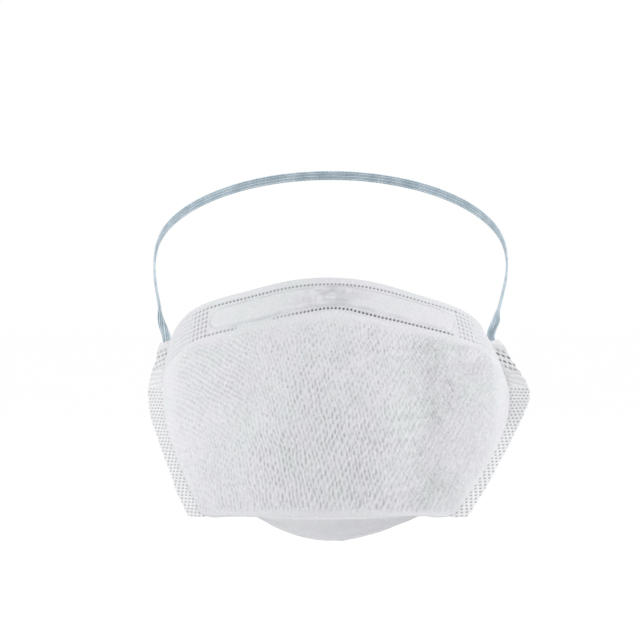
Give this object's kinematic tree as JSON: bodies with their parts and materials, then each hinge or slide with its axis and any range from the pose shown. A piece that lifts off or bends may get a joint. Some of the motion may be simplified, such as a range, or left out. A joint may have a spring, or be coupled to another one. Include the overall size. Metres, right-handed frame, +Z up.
{
  "type": "disposable dust mask",
  "caption": "Flat-fold pouch dust mask in white nonwoven layers, with a bendable nose wire, welded side strips and elastic headbands.",
  "frame": {"origin": "middle of the face opening, between the nose rim and the chin rim", "axes": "+Z up, +Y from the pouch towards the wearer's head, +X to the wearer's left, which is the right of a viewer in front"},
  "size_m": [0.1648, 0.2442, 0.1645],
  "materials": {
    "cover_nonwoven": "matt, fine pin-dot emboss",
    "filter_web": "matt, fleecy",
    "lining_nonwoven": "matt, smooth",
    "welded_laminate": "pressed, with rows of weld dashes",
    "wire_strip": "satin",
    "elastic_band": "knitted elastic, pale blue",
    "elastic_weld": "fused elastic"
  },
  "bodies": {
    "mask_body": {"upper_outer_cover": "cover_nonwoven", "upper_filter": "filter_web", "upper_inner_lining": "lining_nonwoven", "lower_outer_cover": "cover_nonwoven", "lower_filter": "filter_web", "lower_inner_lining": "lining_nonwoven", "left_side_weld": "welded_laminate", "right_side_weld": "welded_laminate", "nose_hem_left": "cover_nonwoven", "nose_hem_right": "cover_nonwoven", "chin_hem_left": "cover_nonwoven", "chin_hem_right": "cover_nonwoven", "left_upper_band_weld": "elastic_weld", "right_upper_band_weld": "elastic_weld", "left_lower_band_weld": "elastic_weld", "right_lower_band_weld": "elastic_weld"},
    "nose_rim": {"nose_hem_center": "cover_nonwoven", "nose_wire": "wire_strip"},
    "chin_rim": {"chin_hem_center": "cover_nonwoven"},
    "upper_band": {"upper_headband": "elastic_band"},
    "lower_band": {"lower_headband": "elastic_band"}
  },
  "joints": [
    {"name": "nose_fold", "type": "hinge", "parent": "mask_body", "child": "nose_rim", "pos_m": [0, -0.0547, -0.0396], "axis": [1, 0, 0], "range_deg": [-22, 0], "deforming": ["upper_outer_cover", "upper_filter", "upper_inner_lining", "nose_hem_left", "nose_hem_right"]},
    {"name": "chin_fold", "type": "hinge", "parent": "mask_body", "child": "chin_rim", "pos_m": [0, -0.0547, -0.0396], "axis": [1, 0, 0], "range_deg": [0, 30], "deforming": ["lower_outer_cover", "lower_filter", "lower_inner_lining", "chin_hem_left", "chin_hem_right"]},
    {"name": "upper_band_swing", "type": "hinge", "parent": "mask_body", "child": "upper_band", "pos_m": [0, 0.04111, 0.02909], "axis": [1, 0, 0], "range_deg": [-20, 95]},
    {"name": "lower_band_swing", "type": "hinge", "parent": "mask_body", "child": "lower_band", "pos_m": [0, 0.03062, 0.01954], "axis": [1, 0, 0], "range_deg": [-60, 12]}
  ]
}
